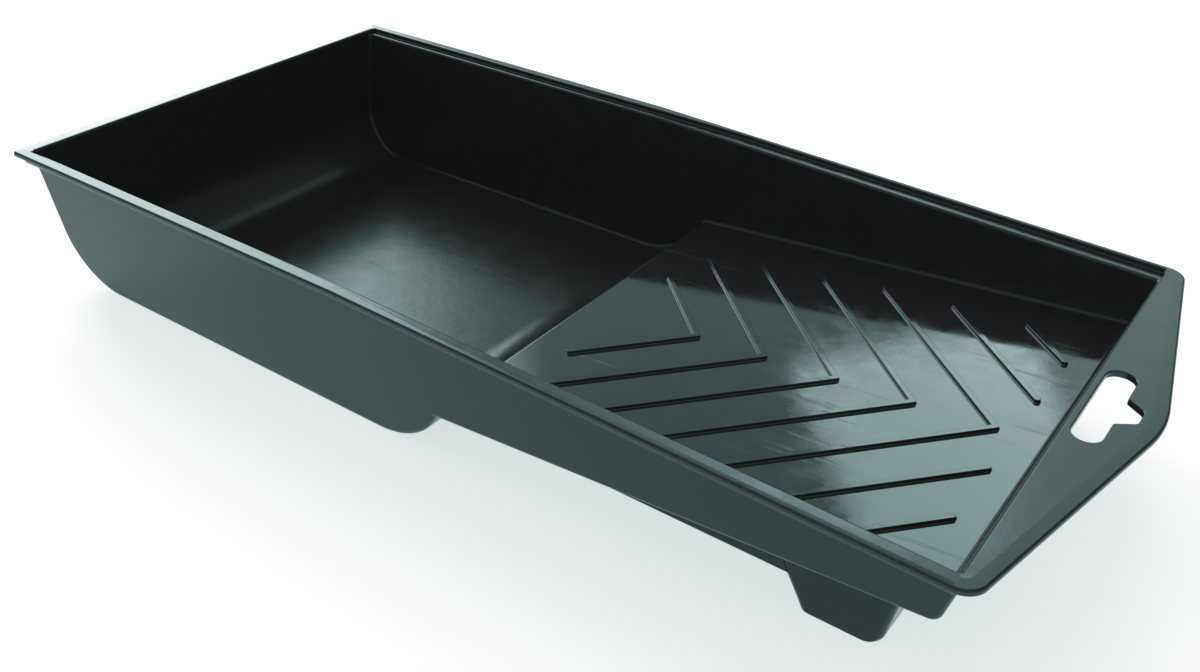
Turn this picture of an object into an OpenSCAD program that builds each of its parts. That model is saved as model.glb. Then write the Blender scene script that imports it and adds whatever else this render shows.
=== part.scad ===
// Paint tray for a mini roller: a deep well, a sloping ramp with chevron ribs,
// a stepped rim, two feet under the ramp and a hanging tab with a hook slot.
// +X runs from the well to the tab, +Y across the tray, Z = 0 is the bench.
// The origin is the middle of the tray's length and width, on the bench.
// Lengths along the tray are given as u, measured from the rim's deep end.

/* [Tray] */
// Overall length, from the deep end's rim to the tab's peak
tray_l = 313.5; // [311:0.5:320]
// Overall width over the rim
tray_w = 150; // [146:1:170]
// Height of the rim above the bench at the deep end
tray_h = 47; // [45:0.5:52]
// Thickness of the moulded walls
wall_t = 1.6; // [1.2:0.1:2]

/* [Rim] */
// Width of the raised lip beside the well
lip_w = 3.3; // [2.6:0.1:4]
// Width of the raised lip beside the ramp
ramp_lip_w = 1.8; // [1.4:0.1:2.4]
// Thickness of the lip and of the hanging tab
lip_t = 1.8; // [1.6:0.1:2.2]
// Width of the ledge between the ramp's lip and the side wall
ledge_w = 3.6; // [3.2:0.1:4.6]
// Depth of the ledge below the top of the lip
ledge_drop = 1.5; // [1:0.1:1.6]
// How far the lip stands out past the deep-end wall
end_lip = 3.1; // [2.5:0.1:4]
// Radius of the lip's outer corners at the deep end
rim_corner_r = 1.2; // [0.6:0.2:4]
// Distance from the deep end at which the rim starts to fall
rim_fall_u = 133; // [120:1:150]
// How far the rim has fallen where it meets the tab
rim_fall = 4.6; // [3:0.1:5]

/* [Well] */
// Sideways lean of the side walls for each unit of height
side_draft = 0.14; // [0.1:0.01:0.16]
// Lean of the deep-end wall for each unit of height
end_draft = 0.03; // [0.02:0.01:0.1]
// Outer radius of the bend between the deep-end wall and the floor
end_r = 19.4; // [14:0.2:24]
// Distance from the deep end at which the flat floor stops
floor_end_u = 135.7; // [134:0.1:137]
// Outer radius of the bend from the floor up to the ramp
riser_r = 25; // [22:0.5:26]
// Angle of the riser at the top of that bend
riser_angle = 64; // [58:1:65]

/* [Ramp] */
// Height of the ramp's surface at its lower end
ramp_low_z = 16.4; // [16:0.2:18]
// Height of the ramp's surface at the tab end
ramp_high_z = 27.1; // [25:0.1:29]
// Distance from the deep end to the inner face of the front wall, at the tab
front_u = 295; // [294:0.2:297]
// Lean of the front wall for each unit of height
front_draft = 0.26; // [0.2:0.01:0.28]
// Outer radius of the bend between the ramp and the front wall
front_r = 3; // [2.5:0.5:6]

/* [Ribs] */
// Width of a rib on the ramp
rib_w = 1.7; // [1.4:0.1:3]
// Height of a rib above the ramp
rib_h = 0.9; // [0.7:0.1:1.6]
// Distance between one chevron's point and the next, along the ramp
rib_pitch = 20.9; // [20:0.1:21]
// Distance from the deep end to the first chevron's point
rib_first_u = 195.3; // [193:0.1:196]
// Number of whole chevrons
whole_ribs = 5; // [4:1:5]
// Number of chevrons whose points are cut off by the front wall
split_ribs = 2; // [1:1:2]
// Half the width of the ribbed area
rib_half_w = 51.6; // [40:0.2:54]

/* [Tab and slot] */
// Length of the tab beyond the front wall's inner face, at the rim's sides
tab_side = 4.6; // [4.4:0.1:6]
// Radius of the tab's outer corners
tab_corner_r = 5.4; // [2:0.2:5.4]
// Radius of the tab's rounded peak
tab_peak_r = 40; // [20:1:45]
// Length of the hook slot
slot_l = 32; // [28:0.5:34]
// Width of the hook slot
slot_w = 6.9; // [6:0.1:7.2]
// Height of the notch that centres the hook
notch_h = 4.5; // [3:0.1:4.6]

/* [Feet] */
// Distance from the tray's centreline to the outer face of a foot
foot_half_w = 57; // [54:0.5:58]
// Width of a foot across the tray
foot_w = 22; // [16:1:28]
// Length of a foot's base along the tray
foot_l = 19.5; // [16:0.5:24]
// Distance from the deep end to the foot's base
foot_u = 258.8; // [250:0.2:264]
// Radius of the foot's lower front edge
foot_r = 1.8; // [1:0.1:1.9]
// Thickness of a foot's walls
foot_t = 2; // [1.9:0.1:2.4]
// Height of the lower edge of the webs above the bench
web_z = 9.1; // [6:0.1:11]

/* [Hidden] */

half_w = tray_w / 2;
rib_back_u = 170.3;             // the ribs stop here, short of the ramp's lower edge
rib_front_u = 283.2;            // the split ribs stop here, short of the front wall
ramp_low_u = 160;               // where ramp_low_z is measured
foot_back_lean = 0.494;         // lean of the foot's rear face
foot_front_lean = 0.185;        // lean of the foot's front face
slot_gap = 2;                   // material between the front wall's face and the slot
notch_base = 5.75;              // half the notch's width where it leaves the slot
notch_top = 2.6;                // half the notch's width at its top
notch_base_r = 0.8;             // corner radius where the notch leaves the slot
notch_top_r = 1.8;              // corner radius at the notch's top
lip_taper_u = 165;              // the lip has narrowed to ramp_lip_w here
eps = 0.01;
bend_steps = 14;                // straight facets in each bend

tab_z = tray_h - rim_fall;
ramp_slope = (ramp_high_z - ramp_low_z) / (front_u - ramp_low_u);
ramp_angle = atan(ramp_slope);
ramp_q = sqrt(1 + ramp_slope * ramp_slope);
end_q = sqrt(1 + end_draft * end_draft);
front_q = sqrt(1 + front_draft * front_draft);
ledge_t = wall_t;
ledge_out = half_w - ramp_lip_w + wall_t / 2;   // outer face of the step between lip and ledge
cavity_half_w = half_w - ramp_lip_w - ledge_w;

function ramp_z(u) = ramp_low_z + (u - ramp_low_u) * ramp_slope;
// half the cavity's width at height z, between the leaning side walls
function inner_y(z) = cavity_half_w - side_draft * (tray_h - z);

function unit(v) = v / norm(v);
function arc(c, r, a0, a1) =
    [for (i = [0:bend_steps]) let (a = a0 + (a1 - a0) * i / bend_steps) c + r * [cos(a), sin(a)]];
// the rounded corner at b, between the edges towards a and c
function corner(a, b, c, r) =
    let (p = unit(a - b), q = unit(c - b), half = acos(p * q) / 2,
         m = b + unit(p + q) * r / sin(half),
         s = b + p * r / tan(half) - m, e = b + q * r / tan(half) - m,
         a0 = atan2(s[1], s[0]), turn = atan2(s[0] * e[1] - s[1] * e[0], s * e))
    arc(m, r, a0, a0 + turn);
// an outline whose corners [x, y, radius] are rounded one by one
function rounded(pts) =
    [for (i = [0:len(pts) - 1])
        let (n = len(pts), a = pts[(i + n - 1) % n], b = pts[i], c = pts[(i + 1) % n])
        each b[2] == 0 ? [[b[0], b[1]]]
                       : corner([a[0], a[1]], [b[0], b[1]], [c[0], c[1]], b[2])];
function reversed(list) = [for (i = [len(list) - 1:-1:0]) list[i]];
// the point at which a line from p at angle a meets the ramp, lowered by drop
function up_to_ramp(p, a, drop) =
    p + [cos(a), sin(a)] * (ramp_z(p[0]) - drop - p[1]) / (sin(a) - ramp_slope * cos(a));

// Side profile. Each bend is drawn about one centre, so the wall keeps its thickness.
end_c = [end_lip + end_r * end_q + end_draft * (tray_h - end_r), end_r];
end_a = 180 + atan(end_draft);
riser_c = [floor_end_u, riser_r];
front_in_r = front_r - wall_t;
front_cu = (front_u - front_draft * tab_z - front_in_r * front_q
            + front_draft * (ramp_low_z - ramp_slope * ramp_low_u + front_in_r * ramp_q))
           / (1 - front_draft * ramp_slope);
front_c = [front_cu, ramp_z(front_cu) + front_in_r * ramp_q];
front_a0 = 270 + ramp_angle;
front_a1 = 360 - atan(front_draft);

function end_bend(r) = arc(end_c, r, end_a, 270);
function riser_bend(r) = arc(riser_c, r, 270, 270 + riser_angle);
function front_bend(r) = arc(front_c, r, front_a0, front_a1);
// points on the deep-end wall and on the front wall, offset outwards by t
function end_top(t, z) = [end_lip + wall_t * end_q - t * end_q + end_draft * (tray_h - z), z];
function front_top(t, z) = [front_u + t * front_q - front_draft * (tab_z - z), z];

riser_in = riser_bend(riser_r - wall_t);
riser_out = riser_bend(riser_r);
ramp_edge_in = up_to_ramp(riser_in[bend_steps], riser_angle, 0);
ramp_edge_out = up_to_ramp(riser_out[bend_steps], riser_angle, wall_t * ramp_q);

module extrude_across(w) {
    rotate([90, 0, 0]) linear_extrude(w, center = true) children();
}

module place() {
    translate([-tray_l / 2, 0, 0]) children();
}

// Everything between the inner faces of the side walls
module cavity_prism() {
    rotate([90, 0, 90]) linear_extrude(tray_l)
        polygon([[-inner_y(0), 0], [inner_y(0), 0],
                 [inner_y(tray_h), tray_h], [-inner_y(tray_h), tray_h]]);
}

// A sheet of the side profile that runs from one side wall to the other
module sheet() {
    intersection() {
        extrude_across(tray_w) children();
        cavity_prism();
    }
}

// The outline of a side wall, which follows the outside of the whole profile
module side_outline() {
    top_t = ledge_drop + ledge_t;
    polygon(concat(
        [end_top(wall_t, tray_h - top_t)],
        end_bend(end_r),
        riser_out,
        [ramp_edge_out],
        front_bend(front_r),
        [front_top(wall_t, tab_z - top_t),
         [front_u, tab_z - top_t],
         [rim_fall_u, tray_h - top_t]]));
}

module well_floor() {
    color("#2b3234") place() sheet()
        polygon([[end_c[0], 0], [floor_end_u, 0], [floor_end_u, wall_t], [end_c[0], wall_t]]);
}

module deep_end_wall() {
    top = tray_h - lip_t;
    color("#343d3f") place() sheet()
        polygon(concat([end_top(wall_t, top)], end_bend(end_r),
                       reversed(end_bend(end_r - wall_t)), [end_top(0, top)]));
}

module ramp_riser() {
    color("#3b4547") place() sheet()
        polygon(concat(riser_out, [ramp_edge_out, ramp_edge_in], reversed(riser_in)));
}

module ramp_panel() {
    color("#465052") place() sheet()
        polygon([ramp_edge_out, front_bend(front_r)[0],
                 front_bend(front_in_r)[0], ramp_edge_in]);
}

module front_wall() {
    top = tab_z - lip_t;
    color("#3b4547") place() sheet()
        polygon(concat(front_bend(front_r), [front_top(wall_t, top), front_top(0, top)],
                       reversed(front_bend(front_in_r))));
}

// The wall on the +Y side
module side_wall() {
    place() intersection() {
        extrude_across(tray_w) side_outline();
        rotate([90, 0, 90]) linear_extrude(tray_l)
            polygon([[inner_y(0), 0], [inner_y(0) + wall_t, 0],
                     [inner_y(tray_h) + wall_t, tray_h], [inner_y(tray_h), tray_h]]);
    }
}

module side_wall_left() {
    color("#394345") side_wall();
}

module side_wall_right() {
    color("#394345") mirror([0, 1, 0]) side_wall();
}

// A band of the rim's side profile, from top to bottom below the lip's surface
module rim_band(top, bottom) {
    start = end_lip + wall_t * end_q;
    polygon([[start, tray_h - top], [rim_fall_u, tray_h - top], [front_u, tab_z - top],
             [front_u, tab_z - bottom], [rim_fall_u, tray_h - bottom], [start, tray_h - bottom]]);
}

// The raised lip and the ledge inside it, on the +Y side
module side_rim() {
    place() difference() {
        union() {
            intersection() {
                extrude_across(tray_w) rim_band(0, lip_t);
                linear_extrude(tray_h)
                    polygon([[0, half_w - lip_w], [rim_fall_u, half_w - lip_w],
                             [lip_taper_u, half_w - ramp_lip_w],
                             [tray_l, half_w - ramp_lip_w], [tray_l, half_w], [0, half_w]]);
            }
            translate([0, ledge_out / 2, 0])
                extrude_across(ledge_out) rim_band(ledge_drop, ledge_drop + ledge_t);
        }
        cavity_prism();
    }
}

module rim_left() {
    color("#4d585a") side_rim();
}

module rim_right() {
    color("#4d585a") mirror([0, 1, 0]) side_rim();
}

// The lip over the deep-end wall, with both rounded corners
module rim_deep_end() {
    inner_u = end_lip + wall_t * end_q;
    color("#59666a") place() translate([0, 0, tray_h - lip_t]) linear_extrude(lip_t)
        polygon(rounded([[0, -half_w, rim_corner_r], [inner_u, -half_w, 0],
                         [inner_u, half_w, 0], [0, half_w, rim_corner_r]]));
}

// The hook slot: a rounded slot across the tab with a centring notch
module hook_slot() {
    u0 = front_u + slot_gap;
    u1 = u0 + slot_w;
    end_radius = slot_w / 2 - eps;
    polygon(rounded([[u0, -slot_l / 2, end_radius], [u1, -slot_l / 2, end_radius],
                     [u1, -notch_base, notch_base_r],
                     [u1 + notch_h, -notch_top, notch_top_r],
                     [u1 + notch_h, notch_top, notch_top_r],
                     [u1, notch_base, notch_base_r],
                     [u1, slot_l / 2, end_radius], [u0, slot_l / 2, end_radius]]));
}

module hanging_tab() {
    side_u = front_u + tab_side;
    // apex at which the two slanting edges would meet, so that the rounded peak ends at tray_l
    reach = tray_l - side_u;
    a = 1 - pow(tab_peak_r / half_w, 2);
    b = 2 * (tab_peak_r - reach);
    c = pow(tab_peak_r - reach, 2) - pow(tab_peak_r, 2);
    apex_u = side_u + (sqrt(b * b - 4 * a * c) - b) / (2 * a);
    color("#566365") place() translate([0, 0, tab_z - lip_t]) linear_extrude(lip_t)
        difference() {
            polygon(rounded([[front_u, -half_w, 0], [side_u, -half_w, tab_corner_r],
                             [apex_u, 0, tab_peak_r], [side_u, half_w, tab_corner_r],
                             [front_u, half_w, 0]]));
            hook_slot();
        }
}

// Puts flat artwork, drawn in u and y, onto the ramp's surface
module on_ramp() {
    place() translate([ramp_low_u, 0, ramp_low_z]) rotate([0, -ramp_angle, 0])
        linear_extrude(rib_h) translate([-ramp_low_u, 0]) children();
}

// One arm of a chevron, with rounded ends, at 45 degrees to the tray's length
module rib_arm(tip, side, y_near, y_far) {
    for (y = [y_near, y_far]) translate([tip - y, side * y]) circle(d = rib_w, $fn = 32);
    length = (y_far - y_near) * sqrt(2);
    translate([tip - y_near, side * y_near]) rotate(side > 0 ? 135 : 225)
        translate([0, -rib_w / 2]) square([length, rib_w]);
}

// The chevrons that keep their points
module chevron_ribs() {
    color("#1d2224") on_ramp()
        for (i = [0:whole_ribs - 1]) {
            tip = rib_first_u + i * rib_pitch;
            for (side = [-1, 1])
                rib_arm(tip, side, 0, min(rib_half_w, tip - rib_back_u));
        }
}

// The arms, on one side, of the chevrons that the front wall cuts off
module split_arms(side) {
    on_ramp() for (i = [0:split_ribs - 1]) {
        tip = rib_first_u + (whole_ribs + i) * rib_pitch;
        rib_arm(tip, side, tip - rib_front_u, rib_half_w);
    }
}

module split_ribs_left() {
    color("#1d2224") split_arms(1);
}

module split_ribs_right() {
    color("#1d2224") split_arms(-1);
}

// Side view of a foot, inset by t on its front and rear faces
module foot_outline(t, r) {
    high = ramp_high_z;
    rear = foot_u + t;
    front = foot_u + foot_l - t;
    polygon(rounded([[rear, 0, 0], [front, 0, r],
                     [front + foot_front_lean * high, high, 0],
                     [rear - foot_back_lean * high, high, 0]]));
}

// A hollow foot on the +Y side, open at the bench
module foot() {
    place() difference() {
        translate([0, foot_half_w - foot_w / 2, 0]) extrude_across(foot_w)
            foot_outline(0, foot_r);
        translate([0, foot_half_w - foot_w / 2, -eps]) extrude_across(foot_w - 2 * foot_t)
            foot_outline(foot_t, 0);
        extrude_across(tray_w) side_outline();
    }
}

module foot_left() {
    color("#23292b") foot();
}

module foot_right() {
    color("#23292b") mirror([0, 1, 0]) foot();
}

// The upright web from the riser to the foot on the +Y side
module web() {
    place() translate([0, foot_half_w - wall_t / 2, 0]) extrude_across(wall_t)
        difference() {
            translate([floor_end_u, web_z]) square([foot_u - floor_end_u, ramp_high_z - web_z]);
            side_outline();
            foot_outline(0, 0);
        }
}

module web_left() {
    color("#2a3032") web();
}

module web_right() {
    color("#2a3032") mirror([0, 1, 0]) web();
}

well_floor();
deep_end_wall();
ramp_riser();
ramp_panel();
front_wall();
side_wall_left();
side_wall_right();
rim_left();
rim_right();
rim_deep_end();
hanging_tab();
chevron_ribs();
split_ribs_left();
split_ribs_right();
foot_left();
foot_right();
web_left();
web_right();
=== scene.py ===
import math

import bpy
from mathutils import Matrix, Vector
from mathutils.geometry import tessellate_polygon


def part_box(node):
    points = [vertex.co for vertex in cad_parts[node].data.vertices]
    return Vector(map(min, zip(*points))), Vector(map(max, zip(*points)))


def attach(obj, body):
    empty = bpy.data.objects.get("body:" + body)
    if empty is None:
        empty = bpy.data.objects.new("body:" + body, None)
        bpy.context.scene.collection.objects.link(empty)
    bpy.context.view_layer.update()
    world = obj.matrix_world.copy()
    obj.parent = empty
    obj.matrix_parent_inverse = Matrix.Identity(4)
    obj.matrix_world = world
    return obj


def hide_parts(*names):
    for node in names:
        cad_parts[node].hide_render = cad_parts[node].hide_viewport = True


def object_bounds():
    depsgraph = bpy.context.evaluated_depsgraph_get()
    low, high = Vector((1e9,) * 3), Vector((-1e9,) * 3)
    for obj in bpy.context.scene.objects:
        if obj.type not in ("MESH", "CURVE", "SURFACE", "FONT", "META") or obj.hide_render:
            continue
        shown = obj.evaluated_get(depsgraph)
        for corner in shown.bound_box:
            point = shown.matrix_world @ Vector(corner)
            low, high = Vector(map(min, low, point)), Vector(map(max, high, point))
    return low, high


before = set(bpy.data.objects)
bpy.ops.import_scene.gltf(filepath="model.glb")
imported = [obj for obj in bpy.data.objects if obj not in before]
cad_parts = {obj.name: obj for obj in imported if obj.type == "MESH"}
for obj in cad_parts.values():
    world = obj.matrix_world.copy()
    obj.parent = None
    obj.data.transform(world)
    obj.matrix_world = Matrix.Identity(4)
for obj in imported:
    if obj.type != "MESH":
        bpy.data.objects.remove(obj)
cad_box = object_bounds()

# The tray is one moulding. Each piece below stands for one CAD node and is a closed mesh of its own.
# Neighbours share their seam points and their normals, so the seams don't show.

MM = 0.001
UP = Vector((0, 0, 1))
ACROSS = Vector((0, 1, 0))

# ---------------------------------------------------------------- sizes, from the frame

lo, hi = cad_box
rim_h = hi.z
half_w = hi.y
wall_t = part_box("well_floor")[1].z
lip_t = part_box("rim_deep_end")[1].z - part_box("rim_deep_end")[0].z
deep_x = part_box("rim_deep_end")[1].x           # inner face of the deep-end wall, at the rim
tab_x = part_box("hanging_tab")[0].x             # inner face of the front wall, at the rim
tab_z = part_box("hanging_tab")[1].z
flange_t = tab_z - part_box("rim_left")[0].z     # from the top of the lip to the ledge's underside
ledge_drop = flange_t - wall_t
floor_x0, floor_x1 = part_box("well_floor")[0].x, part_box("well_floor")[1].x
ramp_edge = Vector((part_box("ramp_panel")[0].x, 0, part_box("ramp_riser")[1].z))
ramp_end = Vector((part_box("ramp_panel")[1].x, 0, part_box("ramp_panel")[1].z))

# the rest of the side profile and the rim, as the CAD source gives them
SIDE_DRAFT = 0.14                # lean of the side walls for each unit of height
END_DRAFT = 0.03                 # lean of the deep-end wall
FRONT_DRAFT = 0.26               # lean of the front wall
END_R = 19.4 * MM                # outer radius of the bend from the deep-end wall to the floor
RISER_R = 25 * MM                # outer radius of the bend from the floor to the riser
RISER_ANGLE = math.radians(64)   # angle of the riser above that bend
FRONT_R = 3 * MM                 # outer radius of the bend from the ramp to the front wall
KINK_X = lo.x + 133 * MM         # the rim starts to fall here
LIP_W = 3.3 * MM                 # width of the raised lip beside the well
RAMP_LIP_W = 1.8 * MM            # and beside the ramp
TAPER_X = lo.x + 165 * MM        # the lip is RAMP_LIP_W wide from here on
rim_fall = (rim_h - tab_z) / (tab_x - KINK_X)
cavity_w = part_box("rim_left")[0].y + SIDE_DRAFT * (rim_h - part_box("rim_left")[0].z)

# roundings that only the visual model has
FILLET_R = 1.2 * MM              # inside corners between the side walls and the rest
HEEL_R = 1.5 * MM                # the same corners, outside
EDGE_R = 2 * MM                  # the ramp's lower edge
BEND_STEPS = 20
CORNER_STEPS = 8


def inner_y(z):
    """Half the cavity's width at height z."""
    return cavity_w - SIDE_DRAFT * (rim_h - z)


def rim_z(x):
    """Height of the rim's top at x."""
    return rim_h - max(0.0, x - KINK_X) * rim_fall


def flip(v):
    return Vector((v.x, -v.y, v.z))


# ---------------------------------------------------------------- mesh building

class Solid:
    """A closed mesh gathered face by face. Each face brings the normals that it is shaded with."""

    WELD = 2e-6                  # points nearer than this become one vertex

    def __init__(self, mirrored=False):
        self.cells, self.points, self.faces, self.normals = {}, [], [], []
        self.mirrored = mirrored

    def vertex(self, p):
        cell = tuple(round(c / self.WELD) for c in p)
        for dx in (0, -1, 1):
            for dy in (0, -1, 1):
                for dz in (0, -1, 1):
                    near = (cell[0] + dx, cell[1] + dy, cell[2] + dz)
                    if near in self.cells:
                        return self.cells[near]
        self.cells[cell] = len(self.points)
        self.points.append(Vector(p))
        return self.cells[cell]

    def face(self, points, normals):
        """Adds a face, turned to face along normals: one vector for all of it, or one for each point."""
        if isinstance(normals, Vector):
            normals = [normals] * len(points)
        if self.mirrored:
            points = [flip(p) for p in points]
            normals = [flip(n) for n in normals]
        loop = []
        for p, n in zip(points, normals):
            i = self.vertex(p)
            if i not in [k for k, _ in loop[-1:] + loop[:1]]:
                loop.append((i, n.normalized()))
        if len(loop) < 3:
            return
        around = Vector()
        for (i, _), (j, _) in zip(loop, loop[1:] + loop[:1]):
            around += self.points[i].cross(self.points[j])
        if around.dot(sum((n for _, n in loop), Vector())) < 0:
            loop.reverse()
        self.faces.append([i for i, _ in loop])
        self.normals.extend(n for _, n in loop)

    def strips(self, rows, closed=False):
        """Quads between neighbouring rows of (point, normal). closed joins each row's two ends."""
        for a, b in zip(rows, rows[1:]):
            pairs = list(zip(a, b))
            ends = pairs[1:] + pairs[:1] if closed else pairs[1:]
            for (p, q), (r, s) in zip(pairs, ends):
                self.face([p[0], q[0], s[0], r[0]], [p[1], q[1], s[1], r[1]])

    def plate(self, outline, holes, normal):
        """A flat face with holes."""
        loops = [outline] + holes
        flat = [p for loop in loops for p in loop]
        for tri in tessellate_polygon(loops):
            self.face([flat[i] for i in tri], normal)

    def piece(self, node, material):
        """Makes the object that stands for a CAD node."""
        mesh = bpy.data.meshes.new(node + "_skin")
        mesh.from_pydata(self.points, [], self.faces)
        mesh.polygons.foreach_set("use_smooth", [True] * len(self.faces))
        mesh.normals_split_custom_set([tuple(n) for n in self.normals])
        mesh.materials.append(material)
        obj = bpy.data.objects.new(node + "_skin", mesh)
        bpy.context.scene.collection.objects.link(obj)
        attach(obj, "root")
        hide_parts(node)


STRAIGHT = 1e-6                  # an outline that turns by less than this has no corner there


def rounded(corners, closed=True, steps=6):
    """Points with outward normals along an anticlockwise outline of [x, y, radius].

    A sharp corner gives its point twice, once with each side's normal.
    """
    spots = [Vector(c[:2]) for c in corners]
    last = len(spots) - 1
    path = []
    for i, here in enumerate(spots):
        before = spots[i - 1] if closed or i > 0 else 2 * here - spots[1]
        after = spots[(i + 1) % len(spots)] if closed or i < last else 2 * here - spots[last - 1]
        d1, d2 = (here - before).normalized(), (after - here).normalized()
        n1 = Vector((d1.y, -d1.x))
        turn = math.atan2(d1.x * d2.y - d1.y * d2.x, d1.dot(d2))
        radius = corners[i][2]
        if radius == 0 or abs(turn) < STRAIGHT:
            path.append((here, n1))
            if abs(turn) > STRAIGHT:
                path.append((here, Vector((d2.y, -d2.x))))
            continue
        side = math.copysign(radius, turn)
        centre = here - d1 * radius * math.tan(abs(turn) / 2) - n1 * side
        for k in range(steps + 1):
            normal = Matrix.Rotation(turn * k / steps, 2) @ n1
            path.append((centre + normal * side, normal))
    return path


# ---------------------------------------------------------------- side profile

def bend(cx, cz, radius, start, end, steps):
    """Stations (point, normal) round a concave bend, from angle start to end."""
    made = []
    for k in range(steps + 1):
        a = start + (end - start) * k / steps
        out = Vector((math.cos(a), 0, math.sin(a)))
        made.append((Vector((cx, 0, cz)) + out * radius, -out))
    return made


def crest(corner, n1, n2, radius, steps):
    """Stations round a convex edge whose sides have normals n1 and n2."""
    centre = corner - (n1 + n2) * radius / (1 + n1.dot(n2))
    made = []
    for k in range(steps + 1):
        n = n1.slerp(n2, k / steps)
        made.append((centre + n * radius, n))
    return made


ramp_dir = (ramp_end - ramp_edge).normalized()
ramp_n = Vector((-ramp_dir.z, 0, ramp_dir.x))
ramp_a = math.atan2(ramp_dir.z, ramp_dir.x)
riser_n = Vector((-math.sin(RISER_ANGLE), 0, math.cos(RISER_ANGLE)))
end_n = Vector((1, 0, END_DRAFT)).normalized()
front_n = Vector((-1, 0, FRONT_DRAFT)).normalized()
side_n = Vector((0, 1, -SIDE_DRAFT)).normalized()      # out of the cavity, on the +Y side
side_q = math.hypot(1, SIDE_DRAFT)


def end_face(z):
    return Vector((deep_x + END_DRAFT * (rim_h - z), 0, z))


def front_face(z):
    return Vector((tab_x - FRONT_DRAFT * (tab_z - z), 0, z))


def front_bend_centre(radius):
    """Where a circle touches both the ramp's and the front wall's inner face."""
    p, d = ramp_edge + ramp_n * radius, ramp_dir
    q = front_face(tab_z) + front_n * radius
    e = Vector((FRONT_DRAFT, 0, 1))
    t = ((q.x - p.x) * e.z - (q.z - p.z) * e.x) / (d.x * e.z - d.z * e.x)
    return p + d * t


quarter = math.pi / 2
front_c = front_bend_centre(FRONT_R - wall_t)
end_part = [(end_face(rim_h - flange_t), end_n)] + bend(
    floor_x0, END_R, END_R - wall_t, math.pi + math.atan(END_DRAFT), 3 * quarter, BEND_STEPS)
riser_part = bend(floor_x1, RISER_R, RISER_R - wall_t, 3 * quarter, 3 * quarter + RISER_ANGLE,
                  BEND_STEPS) + crest(ramp_edge, riser_n, ramp_n, EDGE_R, CORNER_STEPS)
front_part = bend(front_c.x, front_c.z, FRONT_R - wall_t, 3 * quarter + ramp_a,
                  4 * quarter - math.atan(FRONT_DRAFT), CORNER_STEPS)
front_part.append((front_face(tab_z - flange_t), front_n))
floor_part = [end_part[-1], riser_part[0]]
ramp_part = [riser_part[-1], front_part[0]]
whole = end_part + riser_part + front_part


def slide(p, station, drop):
    """Moves p along the corner at a wall's top until it is drop below the rim's top."""
    along = station[1].cross(side_n)
    fall = rim_fall if p.x > KINK_X else 0.0
    target = rim_z(p.x) - drop
    return p + along * (target - p.z) / (along.z + fall * along.x)


def seam_y(station):
    """Where the sheet stops and the corner fillet starts."""
    p, n = station
    return inner_y(p.z + n.z * FILLET_R) - FILLET_R * side_q


def inner_corner(station):
    """The fillet between the profile and the +Y side wall, as (point, direction to the wall)."""
    p, n = station
    centre = p + n * FILLET_R + ACROSS * seam_y(station)
    return [(centre + d * FILLET_R, d) for d in fan(-n)]


def outer_corner(station):
    p, n = station
    centre = p - n * (wall_t - HEEL_R)
    centre.y = inner_y(centre.z) + wall_t - HEEL_R * side_q
    return [(centre + d * HEEL_R, d) for d in fan(-n)]


def fan(start):
    return [start.slerp(side_n, k / CORNER_STEPS) for k in range(CORNER_STEPS + 1)]


def seam_pair(station):
    """The sheet's inner and outer points at the +Y seam."""
    p, n = station
    inside = p + ACROSS * seam_y(station)
    return inside, inside - n * wall_t


def make_sheet(solid, stations, slid=()):
    """The sheet between the seams. slid lists the stations that stop at the flange's underside."""
    rows = []
    for station in stations:
        inside, outside = seam_pair(station)
        if station in slid:
            inside, outside = (slide(v, station, flange_t) for v in (inside, outside))
        n = station[1]
        rows.append([inside, flip(inside), outside, flip(outside), n])
    for a, b in zip(rows, rows[1:]):
        solid.face([a[0], a[1], b[1], b[0]], [a[4], a[4], b[4], b[4]])
        solid.face([a[2], a[3], b[3], b[2]], [-a[4], -a[4], -b[4], -b[4]])
        solid.face([a[0], a[2], b[2], b[0]], ACROSS)
        solid.face([a[1], a[3], b[3], b[1]], -ACROSS)
    for end, beside in ((rows[0], rows[1]), (rows[-1], rows[-2])):
        solid.face([end[0], end[1], end[3], end[2]], end[0] - beside[0])


def make_band(solid, station):
    """The top of an end wall, between the flange's underside and the lip's, out to the corners."""
    rows = []
    for drop in (flange_t, lip_t):
        half = []
        for p, d in outer_corner(station):
            half.append((slide(p, station, drop), d))
        face = slide(station[0] + ACROSS * inner_y(station[0].z), station, drop)
        side = slide(face + ACROSS * wall_t, station, drop)
        half.append((side, side_n))
        half.append((side, station[1]))
        rows.append([(flip(p), flip(d)) for p, d in half[::-1]] + half)
    solid.strips(rows, closed=True)
    for row, out in ((rows[0], -UP), (rows[1], UP)):
        solid.face([p for p, _ in row], out)


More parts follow.
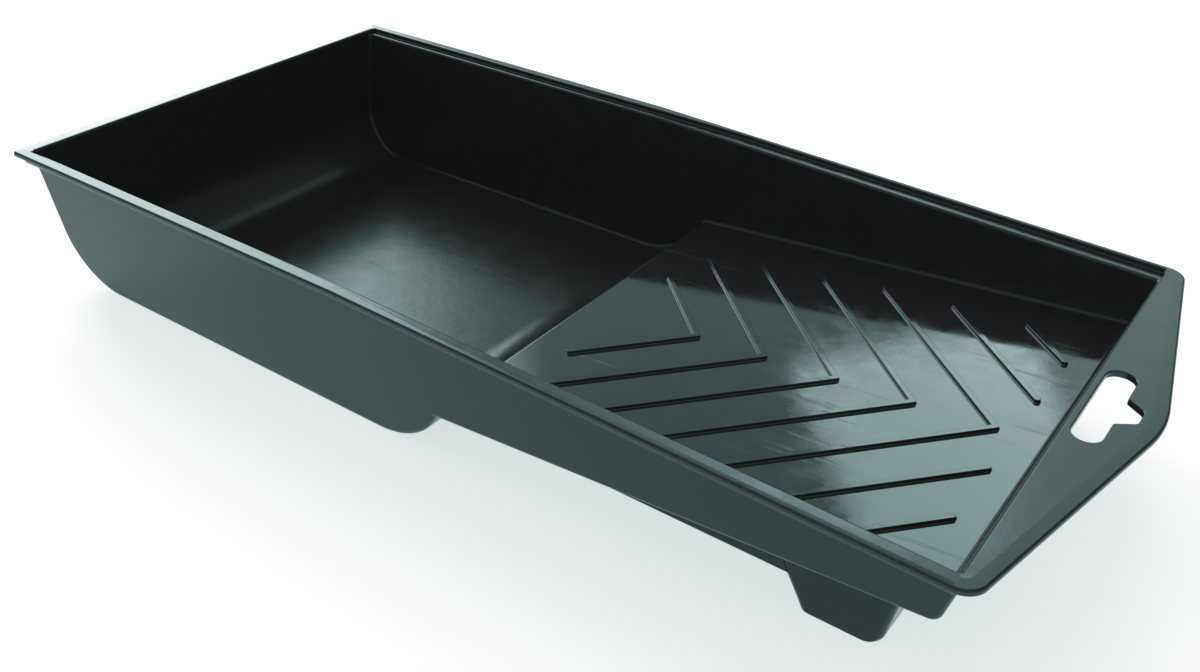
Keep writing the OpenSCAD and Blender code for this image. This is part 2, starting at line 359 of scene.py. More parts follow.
def make_side(solid):
    """A side wall with its corner fillets, drawn for the +Y side."""
    inside, outside, seams = [], [], []
    for i, station in enumerate(whole):
        slid = i in (0, len(whole) - 1)
        trim = (lambda v: slide(v, station, flange_t)) if slid else (lambda v: v)
        inside.append([(trim(p), -d) for p, d in inner_corner(station)])
        outside.append([(trim(p), d) for p, d in outer_corner(station)])
        seams.append([trim(v) for v in seam_pair(station)])
    solid.strips(inside)
    solid.strips(outside)
    for i in range(len(whole) - 1):
        a, b, na, nb = seams[i], seams[i + 1], -whole[i][1], -whole[i + 1][1]
        solid.face([a[0], a[1], b[1], b[0]], -ACROSS)
        solid.face([a[1], outside[i][0][0], outside[i + 1][0][0], b[1]], [na, na, nb, nb])
    kink_z = rim_h - flange_t
    kink_in = Vector((KINK_X, inner_y(kink_z), kink_z))
    kink_out = kink_in + ACROSS * wall_t
    solid.face([row[-1][0] for row in inside] + [kink_in], -side_n)
    solid.face([row[-1][0] for row in outside] + [kink_out], side_n)
    for i, top in ((0, UP), (-1, Vector((rim_fall, 0, 1)))):
        solid.face([p for p, _ in inside[i]] + [kink_in, kink_out]
                   + [p for p, _ in outside[i][::-1]] + [seams[i][1]], top)


# ---------------------------------------------------------------- rim and tab

LIP_SLOPE = 0.1 * MM             # the lip's outer edge lies this far below its inner edge
LIP_EDGE_R = 0.7 * MM
LIP_INNER_R = 0.4 * MM
LIP_UNDER_R = 0.3 * MM           # inside corner below the lip
STEP_LEAN = 0.15 * MM            # the step from the lip down to the ledge leans in by this much
STEP_R = 0.35 * MM               # inside corner at that step's foot
LEDGE_R = 0.8 * MM               # rounding from the ledge down to the wall
CORNER_REACH = LEDGE_R * 1.5     # the rim's points this near to the cavity follow its corners


def rim_section(lip_w):
    """The rim's section on the +Y side, as (point, normal). A point is (y, height from the rim's top)."""
    ledge_y = half_w - lip_w
    wall_y = inner_y(rim_h - flange_t)
    step_y = half_w - RAMP_LIP_W + wall_t / 2
    corners = [
        [half_w, -lip_t, LIP_EDGE_R],
        [half_w, -LIP_SLOPE, LIP_EDGE_R],
        [ledge_y, 0, LIP_INNER_R],
        [ledge_y - STEP_LEAN, -ledge_drop, STEP_R],
        [inner_y(rim_h - ledge_drop), -ledge_drop, LEDGE_R],
        [wall_y, -flange_t, 0],
        [step_y, -flange_t, LIP_EDGE_R],
        [step_y, -lip_t, LIP_UNDER_R],
    ]
    return rounded(corners)


def arc_at(station, index, drop):
    """The corner fillet's point number index, drop below the rim, and its direction to the wall."""
    p, d = inner_corner(station)[index]
    flat = Vector((d.x, d.y, 0)).normalized()
    return slide(p, station, drop), flat


def make_rim(solid):
    """The lip and the ledge along the +Y side."""
    reach = inner_y(rim_h) + CORNER_REACH
    first, last = whole[0], whole[-1]
    stops = [("deep", k) for k in range(CORNER_STEPS + 1)]
    stops += [("kink", 0), ("kink", 1), ("taper", 1)]
    stops += [("front", k) for k in range(CORNER_STEPS, -1, -1)]
    rows = []
    for where, k in stops:
        share = k / CORNER_STEPS
        station = first if where == "deep" else last
        arc_end = inner_corner(station)[-1][0].x
        base = deep_x if where == "deep" else tab_x
        straight = {"kink": KINK_X, "taper": TAPER_X}
        x = straight.get(where, base + (arc_end - base) * share)
        falling = where in ("front", "taper") or (where == "kink" and k == 1)
        section = rim_section(RAMP_LIP_W if where in ("front", "taper") else LIP_W)
        tilt = Vector((rim_fall if falling else 0.0, 0, 1))
        row = []
        for spot, n in section:
            drop = -spot.y
            if spot.x > reach:
                p = Vector((x, spot.x, rim_z(x) - drop))
                normal = ACROSS * n.x + tilt * n.y
            elif where in straight:
                shift = spot.x - inner_y(rim_h - drop)
                z = rim_z(x) - drop
                p = Vector((x, inner_y(z) + shift, z))
                normal = ACROSS * n.x + tilt * n.y
            else:
                shift = spot.x - inner_y(rim_h - drop)
                p, flat = arc_at(station, k, drop)
                p = p + flat * shift
                normal = flat * n.x + tilt * n.y
            row.append((p, normal))
        rows.append(row)
    solid.strips(rows, closed=True)
    solid.face([p for p, _ in rows[0]], Vector((-1, 0, 0)))
    solid.face([p for p, _ in rows[-1]], Vector((1, 0, 0)))


def at(spot, z):
    return Vector((spot.x, spot.y, z))


SLOPE_END_R = 6 * MM             # the turn from the lip's slope to a plate's level top
PLATE_RING = LIP_W * 1.2         # width of the ring that carries both
INNER_EDGE_R = 0.7 * MM          # rounding from the rim down into the cavity, at both ends
SLOT_EDGE_R = 0.35 * MM          # rounding round the hook slot, above and below


def make_plate(solid, outline, top_z, inner_x, hole=None):
    """A lip-thick plate inside an open outline, with a rounded straight edge at inner_x."""
    facing = Vector((math.copysign(1, inner_x - outline[len(outline) // 2][0].x), 0, 0))
    section = rounded([[-LIP_W, -lip_t, 0], [0, -lip_t, LIP_EDGE_R], [0, -LIP_SLOPE, LIP_EDGE_R],
                       [-LIP_W, 0, SLOPE_END_R], [-PLATE_RING, 0, 0]], closed=False)
    rows = []
    for spot, n in section:
        rows.append([(at(drawn_in(p, m, -spot.x), top_z + spot.y), at(m * n.x, n.y))
                     for p, m in outline])
    solid.strips(rows)

    # the rounded edge at the cavity, which stops short of the plate's two ends
    side_y = abs(rows[-1][0][0].y)
    full_y = side_y - INNER_EDGE_R
    ends = [math.copysign(1, rows[-1][i][0].y) for i in (0, -1)]
    edge = []
    for y, radius in ((ends[0] * side_y, 0), (ends[0] * full_y, INNER_EDGE_R),
                      (ends[1] * full_y, INNER_EDGE_R), (ends[1] * side_y, 0)):
        centre = Vector((inner_x, y, top_z)) - (facing + UP) * radius
        edge.append([])
        for k in range(CORNER_STEPS + 1):
            n = UP.slerp(facing, k / CORNER_STEPS)
            edge[-1].append((centre + n * radius, n))
    solid.strips(edge)

    # the upright face below that edge, the top and the bottom
    face = [row[0][0] for row in rows] + [edge[1][-1][0], edge[2][-1][0]]
    face += [row[-1][0] for row in rows[::-1]]
    solid.face(face, facing)
    top = [p for p, _ in rows[-1]] + [edge[2][0][0], edge[1][0][0]]
    bottom = [p for p, _ in rows[0]]
    if hole is None:
        solid.face(top, UP)
        solid.face(bottom, -UP)
        return

    # the hole's wall
    walls = []
    for k in range(2 * CORNER_STEPS + 1):
        a = math.pi * k / (2 * CORNER_STEPS)
        depth = SLOT_EDGE_R if k <= CORNER_STEPS else lip_t - SLOT_EDGE_R
        inset, z = SLOT_EDGE_R * (1 - math.sin(a)), SLOT_EDGE_R * math.cos(a) - depth
        row = [(at(p + m * inset, top_z + z), at(-m * math.sin(a), math.cos(a))) for p, m in hole]
        walls.append(row)
        if k == CORNER_STEPS:
            shift = UP * (2 * SLOT_EDGE_R - lip_t)
            walls.append([(p + shift, n) for p, n in row])
    solid.strips(walls, closed=True)
    solid.plate(tidy(top), [tidy([p for p, _ in walls[0]])], UP)
    solid.plate(tidy(bottom), [tidy([p for p, _ in walls[-1]])], -UP)


def drawn_in(p, m, inset):
    """An outline's point p, moved inwards against its normal m, with a mitre at a tight corner."""
    q = p - m * inset
    return Vector((max(q.x, lo.x + inset), max(inset - half_w, min(half_w - inset, q.y))))


def tidy(loop):
    """The loop without repeated points."""
    return [p for i, p in enumerate(loop) if (p - loop[i - 1]).length > Solid.WELD]


RIM_CORNER_R = 1.2 * MM          # outer corners of the rim at the deep end
TAB_CORNER_R = 5.4 * MM          # where the tab's sides turn towards its peak
TAB_PEAK_R = 40 * MM
TAB_SIDE = 4.6 * MM              # length of the tab at the rim's sides
SLOT_GAP = 2 * MM                # from the ramp's wall to the slot
SLOT_L = 32 * MM
SLOT_W = 6.9 * MM
SLOT_END_R = SLOT_W / 2 * 0.999  # a hair less than half the width, so that two corners don't touch
NOTCH_H = 4.5 * MM
NOTCH_BASE = 5.75 * MM           # half the notch's width at the slot
NOTCH_TOP = 2.6 * MM             # and at its top
NOTCH_BASE_R = 0.8 * MM
NOTCH_TOP_R = 1.8 * MM
FINE_STEPS = 12                  # steps round a corner of these outlines


def deep_lip_outline():
    return rounded([[deep_x, half_w, 0], [lo.x, half_w, RIM_CORNER_R],
                    [lo.x, -half_w, RIM_CORNER_R], [deep_x, -half_w, 0]],
                   closed=False, steps=FINE_STEPS)


def tab_outline():
    """The tab's edge. Its slanting sides run straight from the corners to the peak's arc."""
    side_x = tab_x + TAB_SIDE
    reach = hi.x - side_x
    a = 1 - (TAB_PEAK_R / half_w) ** 2
    b = 2 * (TAB_PEAK_R - reach)
    c = (TAB_PEAK_R - reach) ** 2 - TAB_PEAK_R ** 2
    apex_x = side_x + (math.sqrt(b * b - 4 * a * c) - b) / (2 * a)
    return rounded([[tab_x, -half_w, 0], [side_x, -half_w, TAB_CORNER_R],
                    [apex_x, 0, TAB_PEAK_R], [side_x, half_w, TAB_CORNER_R],
                    [tab_x, half_w, 0]], closed=False, steps=FINE_STEPS)


def slot_outline():
    x0 = tab_x + SLOT_GAP
    x1 = x0 + SLOT_W
    end, r = SLOT_L / 2, SLOT_END_R
    return rounded([[x0, -end, r], [x1, -end, r], [x1, -NOTCH_BASE, NOTCH_BASE_R],
                    [x1 + NOTCH_H, -NOTCH_TOP, NOTCH_TOP_R], [x1 + NOTCH_H, NOTCH_TOP, NOTCH_TOP_R],
                    [x1, NOTCH_BASE, NOTCH_BASE_R], [x1, end, r], [x0, end, r]], steps=FINE_STEPS)


# ---------------------------------------------------------------- ribs

RIB_W = 1.7 * MM
RIB_H = 0.9 * MM
RIB_PITCH = 20.9 * MM
RIB_TOE_R = 0.3 * MM             # small fillet at a rib's foot
RIB_TOP_R = 0.15 * MM
RIB_SINK = 0.02 * MM             # a rib goes this far into the ramp
RIB_DRAFT = 0.06 * MM            # a rib's side leans in by this much
WHOLE_RIBS = 5
SPLIT_RIBS = 2
ramp_low = lo.x + 160 * MM       # the ribs are laid out along the ramp from here
first_tip = lo.x + 195.3 * MM    # tip of the first V
rib_back = lo.x + 170.3 * MM     # no arm reaches further towards the well than this
rib_front = lo.x + 283.2 * MM    # the split ribs' arms start here
rib_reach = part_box("chevron_ribs")[1].y - RIB_W / 2


def on_ramp(x, y, h):
    """A point laid out at x and y on the ramp, h above it."""
    start = ramp_edge + ramp_dir * (ramp_low - ramp_edge.x) / ramp_dir.x
    return start + ramp_dir * (x - ramp_low) + ACROSS * y + ramp_n * h


def round_end(centre, start):
    """Half a turn about centre from angle start, as (centre, offset, normal)."""
    made = []
    for k in range(CORNER_STEPS + 1):
        a = start + math.pi * k / CORNER_STEPS
        n = Vector((math.cos(a), math.sin(a)))
        made.append((centre, n, n))
    return made


def make_rib(solid, path):
    """A rib whose centre line and ends are given by path, as (centre, offset, normal)."""
    half = RIB_W / 2
    section = rounded([[half + 2 * RIB_TOE_R, 0, 0], [half, 0, RIB_TOE_R],
                       [half - RIB_DRAFT, RIB_H, RIB_TOP_R], [0, RIB_H, 0]], closed=False)
    rows = []
    for spot, n in section:
        row = []
        for base, offset, flat in path:
            p = base + offset * spot.x
            normal = ramp_dir * flat.x * n.x + ACROSS * flat.y * n.x + ramp_n * n.y
            row.append((on_ramp(p.x, p.y, spot.y - RIB_SINK), normal))
        rows.append(row)
    solid.strips(rows, closed=True)
    solid.face([p for p, _ in rows[0]], -ramp_n)


def make_chevrons(solid):
    """The whole V-shaped ribs, with their tips towards the tab."""
    eighth = math.pi / 4
    for i in range(WHOLE_RIBS):
        tip = Vector((first_tip + i * RIB_PITCH, 0))
        reach = min(rib_reach, tip.x - rib_back)
        crook = Vector((-math.sqrt(2), 0))
        near, far = tip + Vector((-reach, -reach)), tip + Vector((-reach, reach))
        path = [(tip, crook, Vector((-1, 1)).normalized())]
        path += round_end(near, 3 * eighth)
        for k in range(CORNER_STEPS + 1):
            a = eighth * (2 * k / CORNER_STEPS - 1)
            n = Vector((math.cos(a), math.sin(a)))
            path.append((tip, n, n))
        path += round_end(far, eighth)
        path.append((tip, crook, Vector((-1, -1)).normalized()))
        make_rib(solid, path)


def make_split_ribs(solid):
    """The arms that the front wall cuts off, on the +Y side."""
    for i in range(WHOLE_RIBS, WHOLE_RIBS + SPLIT_RIBS):
        tip = first_tip + i * RIB_PITCH
        start = Vector((rib_front, tip - rib_front))
        end = Vector((tip - rib_reach, rib_reach))
        a = math.pi / 4
        make_rib(solid, round_end(start, a - math.pi) + round_end(end, a))


# ---------------------------------------------------------------- feet and webs

foot_lo, foot_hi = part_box("foot_left")
FOOT_REAR_LEAN = 0.494           # how far a face leans outwards for each unit of height
FOOT_FRONT_LEAN = 0.185
FOOT_T = 2 * MM                  # thickness round the pocket
FOOT_CORNER_R = 2.4 * MM         # upright corners
FOOT_TOE_R = 2.6 * MM            # lower front edge
FOOT_EDGE_R = 0.5 * MM           # the other edges round the base
FOOT_SINK = 0.2 * MM             # the foot's and the web's tops go this far into the ramp
FOOT_POCKET_R = FOOT_CORNER_R / 2
FACES_FRONT = 0.5                # a normal whose x is over this belongs to the front face
foot_base0 = lo.x + 258.8 * MM   # the foot's base runs from here
foot_base1 = foot_base0 + 19.5 * MM


def ramp_under(x):
    """Height of the ramp's underside at x, less a little, so that what meets it goes in."""
    along = (x - ramp_edge.x) * math.tan(ramp_a)
    return ramp_edge.z + along - wall_t / math.cos(ramp_a) + FOOT_SINK


def foot_ring(z, rear_in, front_in, side_in, radius, at_top=False):
    """A rounded ring round the foot at height z, drawn in by the three insets."""
    x0 = foot_base0 - FOOT_REAR_LEAN * z + rear_in
    x1 = foot_base1 + FOOT_FRONT_LEAN * z - front_in
    y0, y1 = foot_lo.y + side_in, foot_hi.y - side_in
    ring = []
    corners = [[x0, y0, radius], [x1, y0, radius], [x1, y1, radius], [x0, y1, radius]]
    for p, n in rounded(corners):
        lean = FOOT_FRONT_LEAN if n.x > 0 else FOOT_REAR_LEAN
        ring.append((at(p, ramp_under(p.x) if at_top else z), at(n, -lean * abs(n.x))))
    return ring


def make_foot(solid):
    """The hollow foot on the +Y side. It is open at its base, and the ramp closes its top."""
    rows = []
    steps = 2 * CORNER_STEPS
    for k in range(steps + 1):
        z = FOOT_TOE_R * (1 - math.cos(math.pi / 2 * k / steps))
        toe = FOOT_TOE_R - math.sqrt(FOOT_TOE_R ** 2 - (FOOT_TOE_R - z) ** 2)
        left = max(0.0, FOOT_EDGE_R - z)
        small = FOOT_EDGE_R - math.sqrt(FOOT_EDGE_R ** 2 - left ** 2)
        ring = foot_ring(z, small, toe, small, FOOT_CORNER_R)
        turned = []
        for p, n in ring:
            down = toe_angle(z, n)
            turned.append((p, n * math.cos(down) - UP * math.sin(down)))
        rows.append(turned)
    rows.append(foot_ring(foot_hi.z, 0, 0, 0, FOOT_CORNER_R, at_top=True))
    pocket = [foot_ring(z, FOOT_T, FOOT_T + extra, FOOT_T, FOOT_POCKET_R, at_top=top)
              for z, extra, top in ((0, FOOT_TOE_R - FOOT_T / 2, False), (foot_hi.z, 0, True))]
    solid.strips(rows, closed=True)
    solid.strips([[(p, -n) for p, n in row] for row in pocket], closed=True)
    for outer, inner, out in ((rows[0], pocket[0], -UP), (rows[-1], pocket[1], UP)):
        pairs = list(zip(outer, inner))
        for (a, b), (c, d) in zip(pairs, pairs[1:] + pairs[:1]):
            solid.face([a[0], b[0], d[0], c[0]], out)


def toe_angle(z, n):
    """The angle by which the surface at height z turns down to the base, where the ring faces n."""
    radius = FOOT_TOE_R if n.x > FACES_FRONT else FOOT_EDGE_R
    return math.acos(1 - max(0.0, radius - z) / radius) if z < radius else 0.0


web_lo, web_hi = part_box("web_left")
WEB_EDGE_R = 0.45 * MM
WEB_SINK = 1 * MM                # the web's ends go this far into the riser and the foot
WEB_TOP_REAR = WEB_SINK * 0.5    # its top starts this far past the ramp's lower edge
WEB_TOP_Z = foot_hi.z * 0.9      # and ends where the foot's rear face reaches this height
ROOF = 1                         # marks the section's points that lie under the ramp


def make_web(solid):
    """The upright web between the riser and the foot, on the +Y side."""
    section = rounded([[web_hi.y, 0, WEB_EDGE_R], [web_hi.y, ROOF, 0], [web_lo.y, ROOF, 0],
                       [web_lo.y, 0, WEB_EDGE_R]])
    rows = [[], []]
    for spot, n in section:
        normal = ACROSS * n.x + UP * n.y
        for row, rear in zip(rows, (True, False)):
            if spot.y == ROOF:
                x = ramp_edge.x + WEB_TOP_REAR if rear else web_end(WEB_TOP_Z)
                p = Vector((x, spot.x, ramp_under(x)))
            else:
                z = web_lo.z + spot.y
                x = web_start(z) if rear else web_end(z)
                p = Vector((x, spot.x, z))
            row.append((p, normal))
    solid.strips(rows, closed=True)
    solid.face([p for p, _ in rows[0]], Vector((-1, 0, 0)))
    solid.face([p for p, _ in rows[1]], Vector((1, 0, 0)))


def web_start(z):
    """Where the web ends inside the riser's thickness at height z."""
    return floor_x1 + math.sqrt(RISER_R ** 2 - (RISER_R - z) ** 2) - WEB_SINK


def web_end(z):
    return foot_base0 - FOOT_REAR_LEAN * z + WEB_SINK


# ---------------------------------------------------------------- materials

BLACK = (0.0095, 0.0098, 0.0108, 1)
BLACK_PALE = (0.0112, 0.0120, 0.0130, 1)
WORN = (0.026, 0.030, 0.030, 1)
WORN_ROUGHNESS = 0.25            # what full wear adds to the roughness
WORN_DEPTH = -0.01 * MM
PLASTIC_IOR = 1.5
REFLECTION_TINT = (0.8, 1.0, 0.99, 1)

# each noise as (cells to the metre, detail, roughness)
MOTTLE = (140, 5.0, 0.6)
PATCH = (28, 2.0, 0.5)
SCUFF = (12, 3.0, 0.55)
NICK = (420, 2.0, 0.7)
WAVE = (26, 1.0, 0.4)
GRAIN = (420, 3.0, 0.6)
SCUFF_STRETCH = (1, 34, 20)      # how many times narrower the cells are along X, Y and Z

# the span of noise values over which each effect rises from nothing to full
SCUFF_SPAN = (0.6, 0.76)
PATCH_SPAN = (0.42, 0.6)
NICK_SPAN = (0.66, 0.74)
COLOUR_SPAN = (0.3, 0.7)
GLOSS_SPAN = (0.32, 0.68)


class Nodes:
    """Short calls for wiring a material's node tree."""

    def __init__(self, tree):
        self.tree = tree
        self.place = self.add("ShaderNodeTexCoord").outputs["Object"]

    def add(self, kind, **settings):
        made = self.tree.nodes.new(kind)
        for name, value in settings.items():
            setattr(made, name, value)
        return made

    def feed(self, node, values):
        """Sets or links a node's inputs, given by name or by number."""
        for name, value in values.items():
            if isinstance(value, bpy.types.NodeSocket):
                self.tree.links.new(value, node.inputs[name])
            else:
                node.inputs[name].default_value = value

    def math(self, operation, a, b=0.0, clamp=False):
        made = self.add("ShaderNodeMath", operation=operation, use_clamp=clamp)
        self.feed(made, {0: a, 1: b})
        return made.outputs[0]

    def noise(self, scale, detail, roughness, stretch=(1, 1, 1), turn=(0, 0, 0)):
        """Noise from 0 to 1 in the object's own coordinates; scale is per metre."""
        mapped = self.add("ShaderNodeMapping")
        self.feed(mapped, {"Vector": self.place, "Rotation": turn, "Scale": stretch})
        made = self.add("ShaderNodeTexNoise")
        self.feed(made, {"Vector": mapped.outputs[0], "Scale": scale, "Detail": detail,
                         "Roughness": roughness})
        return made.outputs["Fac"]

    def ramp(self, value, low, high, out_low=0.0, out_high=1.0):
        """Moves value from the span low..high to out_low..out_high, with soft ends."""
        made = self.add("ShaderNodeMapRange", interpolation_type="SMOOTHSTEP")
        self.feed(made, {"Value": value, "From Min": low, "From Max": high,
                         "To Min": out_low, "To Max": out_high})
        return made.outputs[0]

    def blend(self, share, a, b):
        """Colour a where share is 0 and colour b where it is 1."""
        made = self.add("ShaderNodeMix", data_type="RGBA")
        self.feed(made, {"Factor": share, 6: a, 7: b})
        return made.outputs[2]

    def bump(self, height, distance, under=None):
        made = self.add("ShaderNodeBump")
        self.feed(made, {"Height": height, "Strength": 1.0, "Distance": distance})
        if under is not None:
            self.feed(made, {"Normal": under})
        return made.outputs[0]


def plastic(name, shine, roughness, uneven, grain, wave, scuffs, scuff_turn, nicks):
    """Moulded black polypropylene.

    shine is the strength of the reflections, where 0.5 is that of the plain material. roughness is
    the polished value and uneven what the mottling adds to it. grain and wave are the heights of the
    fine and the slow unevenness. scuffs are long marks lying at the angle scuff_turn, and nicks are
    small worn spots, both as shares of full strength.
    """
    mat = bpy.data.materials.new(name)
    mat.use_nodes = True
    bsdf = mat.node_tree.nodes["Principled BSDF"]
    nodes = Nodes(mat.node_tree)

    mottle = nodes.noise(*MOTTLE)
    patches = nodes.noise(*PATCH)
    marks = nodes.noise(*SCUFF, stretch=SCUFF_STRETCH, turn=(0, 0, scuff_turn))
    marks = nodes.math("MULTIPLY", nodes.ramp(marks, *SCUFF_SPAN), nodes.ramp(patches, *PATCH_SPAN))
    marks = nodes.math("MULTIPLY", marks, scuffs)
    spots = nodes.math("MULTIPLY", nodes.ramp(nodes.noise(*NICK), *NICK_SPAN), nicks)
    wear = nodes.math("ADD", marks, spots, clamp=True)

    colour = nodes.blend(nodes.ramp(mottle, *COLOUR_SPAN), BLACK, BLACK_PALE)
    colour = nodes.blend(wear, colour, WORN)
    rough = nodes.math("ADD", nodes.ramp(mottle, *GLOSS_SPAN, 0.0, uneven), roughness)
    rough = nodes.math("ADD", rough, nodes.math("MULTIPLY", wear, WORN_ROUGHNESS), clamp=True)

    slow = nodes.bump(nodes.noise(*WAVE), wave)
    fine = nodes.bump(nodes.noise(*GRAIN), grain, under=slow)
    scratched = nodes.bump(wear, WORN_DEPTH, under=fine)
    nodes.feed(bsdf, {"Base Color": colour, "Roughness": rough, "Normal": scratched,
                      "IOR": PLASTIC_IOR, "Specular IOR Level": shine,
                      "Specular Tint": REFLECTION_TINT})
    return mat


tray_mat = plastic("tray_plastic", shine=0.36, roughness=0.2, uneven=0.04, grain=0.03 * MM,
                   wave=0.03 * MM, scuffs=0.25, scuff_turn=1.9, nicks=0.12)
ramp_mat = plastic("ramp_plastic", shine=0.5, roughness=0.055, uneven=0.06, grain=0.006 * MM,
                   wave=0.06 * MM, scuffs=0.75, scuff_turn=0.15, nicks=0.2)
rim_mat = plastic("rim_plastic", shine=0.5, roughness=0.15, uneven=0.08, grain=0.016 * MM,
                  wave=0.10 * MM, scuffs=0.35, scuff_turn=0.6, nicks=0.5)

# ---------------------------------------------------------------- the pieces


def build(node, material, make, *args, mirrored=False):
    """Makes a node's piece. make draws it, and mirrored moves it to the -Y side."""
    solid = Solid(mirrored)
    make(solid, *args)
    solid.piece(node, material)


def make_deep_wall(solid):
    make_sheet(solid, end_part, slid=(end_part[0],))
    make_band(solid, end_part[0])


def make_front_wall(solid):
    make_sheet(solid, front_part, slid=(front_part[-1],))
    make_band(solid, front_part[-1])


build("well_floor", tray_mat, make_sheet, floor_part)
build("deep_end_wall", tray_mat, make_deep_wall)
build("ramp_riser", tray_mat, make_sheet, riser_part)
build("ramp_panel", ramp_mat, make_sheet, ramp_part)
build("front_wall", tray_mat, make_front_wall)
build("rim_deep_end", rim_mat, make_plate, deep_lip_outline(), rim_h, deep_x)
build("hanging_tab", rim_mat, make_plate, tab_outline(), tab_z, tab_x, slot_outline())
build("chevron_ribs", ramp_mat, make_chevrons)
for side, is_right in (("left", False), ("right", True)):
    build("side_wall_" + side, tray_mat, make_side, mirrored=is_right)
    build("rim_" + side, rim_mat, make_rim, mirrored=is_right)
    build("split_ribs_" + side, ramp_mat, make_split_ribs, mirrored=is_right)
    build("foot_" + side, tray_mat, make_foot, mirrored=is_right)
    build("web_" + side, tray_mat, make_web, mirrored=is_right)

# ---------------------------------------------------------------- stage, light and camera

FLOOR_SIZE = 30
FLOOR_GREY = 0.5
FLOOR_ROUGHNESS = 0.9
FLOOR_SHINE = 0.1
FLOOR_GLOW = 0.7                 # the floor is lit from within, like a white sweep
bpy.ops.mesh.primitive_plane_add(size=FLOOR_SIZE, location=(0, 0, 0))
floor = bpy.context.object
floor.name = "floor"
floor_mat = bpy.data.materials.new("floor")
floor_mat.use_nodes = True
floor_bsdf = floor_mat.node_tree.nodes["Principled BSDF"]
floor_bsdf.inputs["Base Color"].default_value = (FLOOR_GREY, FLOOR_GREY, FLOOR_GREY, 1)
floor_bsdf.inputs["Roughness"].default_value = FLOOR_ROUGHNESS
floor_bsdf.inputs["Specular IOR Level"].default_value = FLOOR_SHINE
floor_bsdf.inputs["Emission Color"].default_value = (1, 1, 1, 1)
floor_bsdf.inputs["Emission Strength"].default_value = FLOOR_GLOW

# it can be seen through from below, so that the tray's underside can be looked at
from_below = floor_mat.node_tree.nodes.new("ShaderNodeNewGeometry").outputs["Backfacing"]
clear = floor_mat.node_tree.nodes.new("ShaderNodeBsdfTransparent").outputs[0]
one_sided = floor_mat.node_tree.nodes.new("ShaderNodeMixShader")
floor_surface = floor_mat.node_tree.nodes["Material Output"].inputs["Surface"]
for source, socket in ((from_below, one_sided.inputs[0]),
                       (floor_bsdf.outputs[0], one_sided.inputs[1]),
                       (clear, one_sided.inputs[2]),
                       (one_sided.outputs[0], floor_surface)):
    floor_mat.node_tree.links.new(source, socket)
floor.data.materials.append(floor_mat)

# The studio is a plain white room with large soft lights. Each light is given in degrees:
# (from, to) round from +X towards +Y, (from, to) above the bench, softness, strength, and how far
# its upright and its level edges lean, from its corner at the second angle round and the first up.
# A light of negative strength is a dark screen.
ROOM = 0.75
SOFTBOXES = [((135, 165), (6, 50), 6, 4.8, 0, 0),
             ((106.5, 119.5), (29.4, 46), 0.6, 3.8, 0.46, 0.2),
             ((113, 127), (37.6, 44), 2.5, 1.9, 0, 0),
             ((90, 108), (22, 46), 12, 0.8, 0, 0),
             ((-200, 89), (5, 72), 8, -0.32, 0, 0),
             ((20, 89), (5, 72), 8, -0.2, 0, 0)]

world = bpy.data.worlds.new("studio")
bpy.context.scene.world = world
world.use_nodes = True
sky = Nodes(world.node_tree)
where = sky.add("ShaderNodeTexCoord").outputs["Generated"]
split = sky.add("ShaderNodeSeparateXYZ")
sky.feed(split, {0: where})
around = sky.math("MULTIPLY", sky.math("ARCTAN2", split.outputs[1], split.outputs[0]),
                  math.degrees(1))
height = sky.math("MULTIPLY", sky.math("ARCSINE", split.outputs[2]), math.degrees(1))


def band(value, start, stop, soft):
    """1 between start and stop, 0 outside, over a soft edge."""
    rise = sky.ramp(value, start - soft / 2, start + soft / 2)
    fall = sky.ramp(value, stop - soft / 2, stop + soft / 2, 1.0, 0.0)
    return sky.math("MULTIPLY", rise, fall)


def leaning(value, other, pivot, lean):
    """value, moved by lean for each degree that other is away from pivot."""
    return sky.math("ADD", value, sky.math("MULTIPLY", sky.math("SUBTRACT", other, pivot), lean))


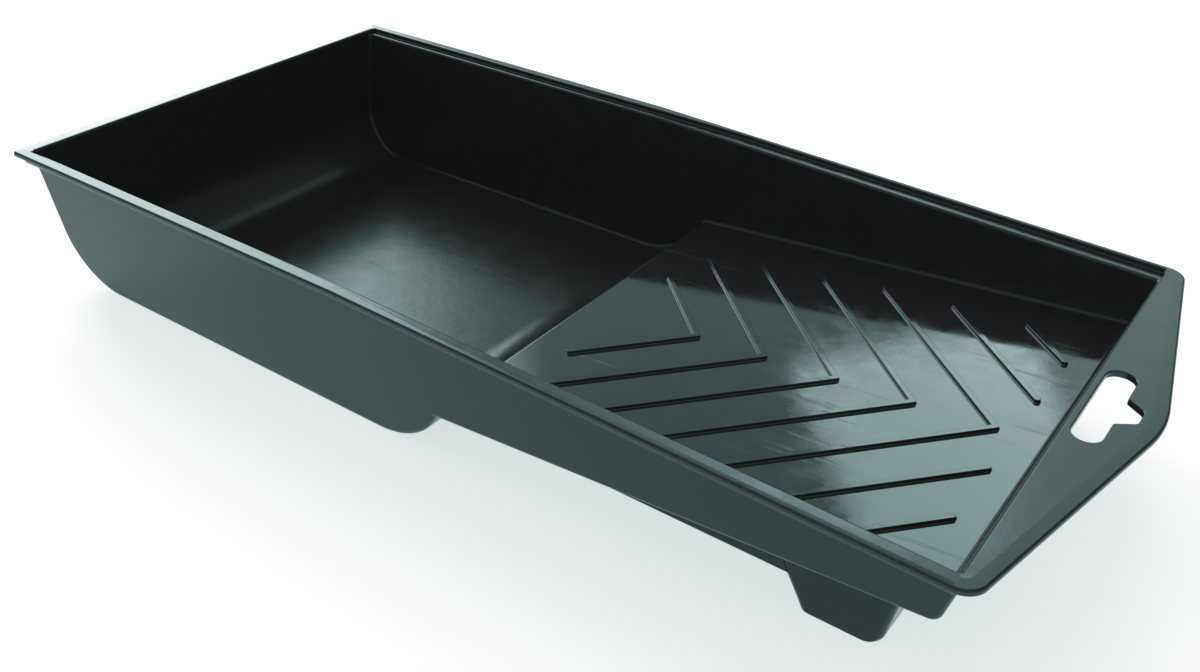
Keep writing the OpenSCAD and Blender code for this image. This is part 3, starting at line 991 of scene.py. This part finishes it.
light = ROOM
for (az0, az1), (el0, el1), soft, strength, upright_lean, level_lean in SOFTBOXES:
    across = band(leaning(around, height, el0, upright_lean), az0, az1, soft)
    up = band(leaning(height, around, az1, -level_lean), el0, el1, soft)
    box = sky.math("MULTIPLY", across, up)
    light = sky.math("ADD", light, sky.math("MULTIPLY", box, strength))
seen = sky.add("ShaderNodeLightPath").outputs["Is Camera Ray"]     # the room itself looks plain
light = sky.math("MULTIPLY", light, sky.math("SUBTRACT", 1.0, seen))
sky.feed(world.node_tree.nodes["Background"], {"Strength": sky.math("ADD", light, seen)})
world.node_tree.nodes["Background"].inputs["Color"].default_value = (1, 1, 1, 1)

# The colour grade: points on the red curve that turn the greys slightly teal, and a lens's own
# veil over the blacks.
GRADE_RED = [(0.012, 0.0115), (0.06, 0.045), (0.3, 0.235), (0.7, 0.64)]
FLARE = 0.0033
view = bpy.context.scene.view_settings
view.view_transform = "Standard"
view.use_curve_mapping = True
red_curve, combined_curve = view.curve_mapping.curves[0], view.curve_mapping.curves[3]
for spot in GRADE_RED:
    red_curve.points.new(*spot)
combined_curve.points[0].location = (0, FLARE)
view.curve_mapping.update()

CAM_AZIMUTH = math.radians(35.09)
CAM_ELEVATION = math.radians(32.69)
CAM_ROLL = math.radians(1.27)
CAM_DISTANCE = 0.35006
CAM_SHIFT = (0.00977, -0.02532)  # from the target, in the camera's own right and up
CAM_FOCAL = 36.61                # for a sensor of CAM_SENSOR, both in mm
CAM_SENSOR = 36
CAM_NEAR = 0.01                  # nothing nearer than this is drawn
CAM_TARGET = Vector((-0.00675, 0, rim_h - 0.015))      # above the well's floor, below the rim

forward = Vector((-math.sin(CAM_AZIMUTH) * math.cos(CAM_ELEVATION),
                  math.cos(CAM_AZIMUTH) * math.cos(CAM_ELEVATION), -math.sin(CAM_ELEVATION)))
level = forward.cross(UP).normalized()
above = level.cross(forward)
right = level * math.cos(CAM_ROLL) + above * math.sin(CAM_ROLL)
above = above * math.cos(CAM_ROLL) - level * math.sin(CAM_ROLL)
camera = bpy.data.objects.new("camera", bpy.data.cameras.new("camera"))
bpy.context.scene.collection.objects.link(camera)
place = CAM_TARGET - forward * CAM_DISTANCE + right * CAM_SHIFT[0] + above * CAM_SHIFT[1]
turn = Matrix((right, above, -forward)).transposed().to_4x4()
camera.matrix_world = Matrix.Translation(place) @ turn
camera.data.lens = CAM_FOCAL
camera.data.sensor_width = CAM_SENSOR
camera.data.clip_start = CAM_NEAR
bpy.context.scene.camera = camera
